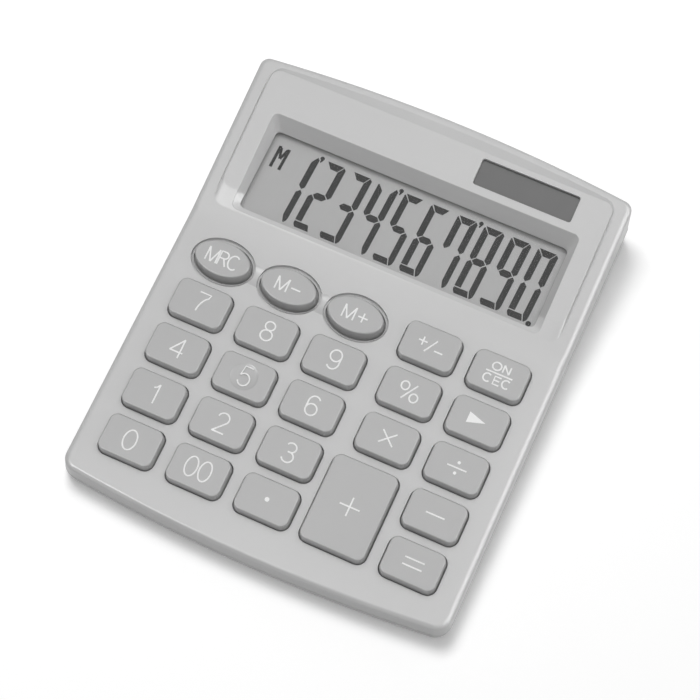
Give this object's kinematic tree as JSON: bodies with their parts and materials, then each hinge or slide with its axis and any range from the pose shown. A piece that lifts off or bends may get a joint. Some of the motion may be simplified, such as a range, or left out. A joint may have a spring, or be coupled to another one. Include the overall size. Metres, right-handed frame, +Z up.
{
  "type": "desktop calculator",
  "caption": "Small wedge-shaped desktop calculator with a sloped display recess, solar cell, sprung number, operator and memory keys, and rubber feet.",
  "frame": {"origin": "on the desk surface, under the centre of the case's outline, where the rubber feet stand", "axes": "+X to the user's right along the key rows, +Y from the front edge to the tall display edge, +Z up"},
  "size_m": [0.1058, 0.1264, 0.0208],
  "materials": {
    "case": "fine satin moulded ABS, light silver grey",
    "key": "satin moulded ABS, mid grey, with printed white legends",
    "mat": "moulded silicone rubber",
    "foot": "black rubber pad",
    "window": "clear polished acrylic",
    "lcd": "grey-green liquid crystal cell with dark segments",
    "solar": "dark glossy amorphous silicon cell",
    "board": "brown phenolic laminate",
    "resin": "black epoxy",
    "steel": "nickel-plated steel",
    "spring_metal": "nickel-plated spring strip",
    "red_insulation": "red PVC insulation",
    "black_insulation": "black PVC insulation"
  },
  "bodies": {
    "case": {"top_housing": "case", "bottom_housing": "case", "battery_door": "case", "display_window": "window", "lcd_glass": "lcd", "contact_strip": "mat", "solar_cell": "solar", "circuit_board": "board", "chip_cover": "resin", "key_mat": "mat", "button_cell": "steel", "contact_negative": "spring_metal", "contact_positive": "spring_metal", "door_screw": "steel", "solar_lead_positive": "red_insulation", "solar_lead_negative": "black_insulation", "case_screw_front_left": "steel", "foot_front_left": "foot", "case_screw_front_right": "steel", "foot_front_right": "foot", "case_screw_back_left": "steel", "foot_back_left": "foot", "case_screw_back_right": "steel", "foot_back_right": "foot", "board_screw_left": "steel", "board_screw_right": "steel", "board_screw_middle_back": "steel", "board_screw_middle_front": "steel"},
    "key_0": {"key_0": "key"},
    "key_00": {"key_00": "key"},
    "key_point": {"key_point": "key"},
    "key_equals": {"key_equals": "key"},
    "key_1": {"key_1": "key"},
    "key_2": {"key_2": "key"},
    "key_3": {"key_3": "key"},
    "key_minus": {"key_minus": "key"},
    "key_4": {"key_4": "key"},
    "key_5": {"key_5": "key"},
    "key_6": {"key_6": "key"},
    "key_multiply": {"key_multiply": "key"},
    "key_divide": {"key_divide": "key"},
    "key_7": {"key_7": "key"},
    "key_8": {"key_8": "key"},
    "key_9": {"key_9": "key"},
    "key_percent": {"key_percent": "key"},
    "key_backspace": {"key_backspace": "key"},
    "key_recall": {"key_recall": "key"},
    "key_memory_minus": {"key_memory_minus": "key"},
    "key_memory_plus": {"key_memory_plus": "key"},
    "key_sign": {"key_sign": "key"},
    "key_on_clear": {"key_on_clear": "key"},
    "key_plus": {"key_plus": "key"}
  },
  "joints": [
    {"name": "key_0_press", "type": "slide", "parent": "case", "child": "key_0", "axis": [0, 0.0436, -0.999], "range_m": [0, 0.0012], "stiffness_N_per_m": 400, "springref_m": -0.0004, "deforming": ["key_mat"]},
    {"name": "key_00_press", "type": "slide", "parent": "case", "child": "key_00", "axis": [0, 0.0436, -0.999], "range_m": [0, 0.0012], "stiffness_N_per_m": 400, "springref_m": -0.0004, "deforming": ["key_mat"]},
    {"name": "key_point_press", "type": "slide", "parent": "case", "child": "key_point", "axis": [0, 0.0436, -0.999], "range_m": [0, 0.0012], "stiffness_N_per_m": 400, "springref_m": -0.0004, "deforming": ["key_mat"]},
    {"name": "key_equals_press", "type": "slide", "parent": "case", "child": "key_equals", "axis": [0, 0.0436, -0.999], "range_m": [0, 0.0012], "stiffness_N_per_m": 400, "springref_m": -0.0004, "deforming": ["key_mat"]},
    {"name": "key_1_press", "type": "slide", "parent": "case", "child": "key_1", "axis": [0, 0.0436, -0.999], "range_m": [0, 0.0012], "stiffness_N_per_m": 400, "springref_m": -0.0004, "deforming": ["key_mat"]},
    {"name": "key_2_press", "type": "slide", "parent": "case", "child": "key_2", "axis": [0, 0.0436, -0.999], "range_m": [0, 0.0012], "stiffness_N_per_m": 400, "springref_m": -0.0004, "deforming": ["key_mat"]},
    {"name": "key_3_press", "type": "slide", "parent": "case", "child": "key_3", "axis": [0, 0.0436, -0.999], "range_m": [0, 0.0012], "stiffness_N_per_m": 400, "springref_m": -0.0004, "deforming": ["key_mat"]},
    {"name": "key_minus_press", "type": "slide", "parent": "case", "child": "key_minus", "axis": [0, 0.0436, -0.999], "range_m": [0, 0.0012], "stiffness_N_per_m": 400, "springref_m": -0.0004, "deforming": ["key_mat"]},
    {"name": "key_4_press", "type": "slide", "parent": "case", "child": "key_4", "axis": [0, 0.0436, -0.999], "range_m": [0, 0.0012], "stiffness_N_per_m": 400, "springref_m": -0.0004, "deforming": ["key_mat"]},
    {"name": "key_5_press", "type": "slide", "parent": "case", "child": "key_5", "axis": [0, 0.0436, -0.999], "range_m": [0, 0.0012], "stiffness_N_per_m": 400, "springref_m": -0.0004, "deforming": ["key_mat"]},
    {"name": "key_6_press", "type": "slide", "parent": "case", "child": "key_6", "axis": [0, 0.0436, -0.999], "range_m": [0, 0.0012], "stiffness_N_per_m": 400, "springref_m": -0.0004, "deforming": ["key_mat"]},
    {"name": "key_multiply_press", "type": "slide", "parent": "case", "child": "key_multiply", "axis": [0, 0.0436, -0.999], "range_m": [0, 0.0012], "stiffness_N_per_m": 400, "springref_m": -0.0004, "deforming": ["key_mat"]},
    {"name": "key_divide_press", "type": "slide", "parent": "case", "child": "key_divide", "axis": [0, 0.0436, -0.999], "range_m": [0, 0.0012], "stiffness_N_per_m": 400, "springref_m": -0.0004, "deforming": ["key_mat"]},
    {"name": "key_7_press", "type": "slide", "parent": "case", "child": "key_7", "axis": [0, 0.0436, -0.999], "range_m": [0, 0.0012], "stiffness_N_per_m": 400, "springref_m": -0.0004, "deforming": ["key_mat"]},
    {"name": "key_8_press", "type": "slide", "parent": "case", "child": "key_8", "axis": [0, 0.0436, -0.999], "range_m": [0, 0.0012], "stiffness_N_per_m": 400, "springref_m": -0.0004, "deforming": ["key_mat"]},
    {"name": "key_9_press", "type": "slide", "parent": "case", "child": "key_9", "axis": [0, 0.0436, -0.999], "range_m": [0, 0.0012], "stiffness_N_per_m": 400, "springref_m": -0.0004, "deforming": ["key_mat"]},
    {"name": "key_percent_press", "type": "slide", "parent": "case", "child": "key_percent", "axis": [0, 0.0436, -0.999], "range_m": [0, 0.0012], "stiffness_N_per_m": 400, "springref_m": -0.0004, "deforming": ["key_mat"]},
    {"name": "key_backspace_press", "type": "slide", "parent": "case", "child": "key_backspace", "axis": [0, 0.0436, -0.999], "range_m": [0, 0.0012], "stiffness_N_per_m": 400, "springref_m": -0.0004, "deforming": ["key_mat"]},
    {"name": "key_recall_press", "type": "slide", "parent": "case", "child": "key_recall", "axis": [0, 0.0436, -0.999], "range_m": [0, 0.0012], "stiffness_N_per_m": 400, "springref_m": -0.0004, "deforming": ["key_mat"]},
    {"name": "key_memory_minus_press", "type": "slide", "parent": "case", "child": "key_memory_minus", "axis": [0, 0.0436, -0.999], "range_m": [0, 0.0012], "stiffness_N_per_m": 400, "springref_m": -0.0004, "deforming": ["key_mat"]},
    {"name": "key_memory_plus_press", "type": "slide", "parent": "case", "child": "key_memory_plus", "axis": [0, 0.0436, -0.999], "range_m": [0, 0.0012], "stiffness_N_per_m": 400, "springref_m": -0.0004, "deforming": ["key_mat"]},
    {"name": "key_sign_press", "type": "slide", "parent": "case", "child": "key_sign", "axis": [0, 0.0436, -0.999], "range_m": [0, 0.0012], "stiffness_N_per_m": 400, "springref_m": -0.0004, "deforming": ["key_mat"]},
    {"name": "key_on_clear_press", "type": "slide", "parent": "case", "child": "key_on_clear", "axis": [0, 0.0436, -0.999], "range_m": [0, 0.0012], "stiffness_N_per_m": 400, "springref_m": -0.0004, "deforming": ["key_mat"]},
    {"name": "key_plus_press", "type": "slide", "parent": "case", "child": "key_plus", "axis": [0, 0.0436, -0.999], "range_m": [0, 0.0012], "stiffness_N_per_m": 400, "springref_m": -0.0004, "deforming": ["key_mat"]}
  ]
}
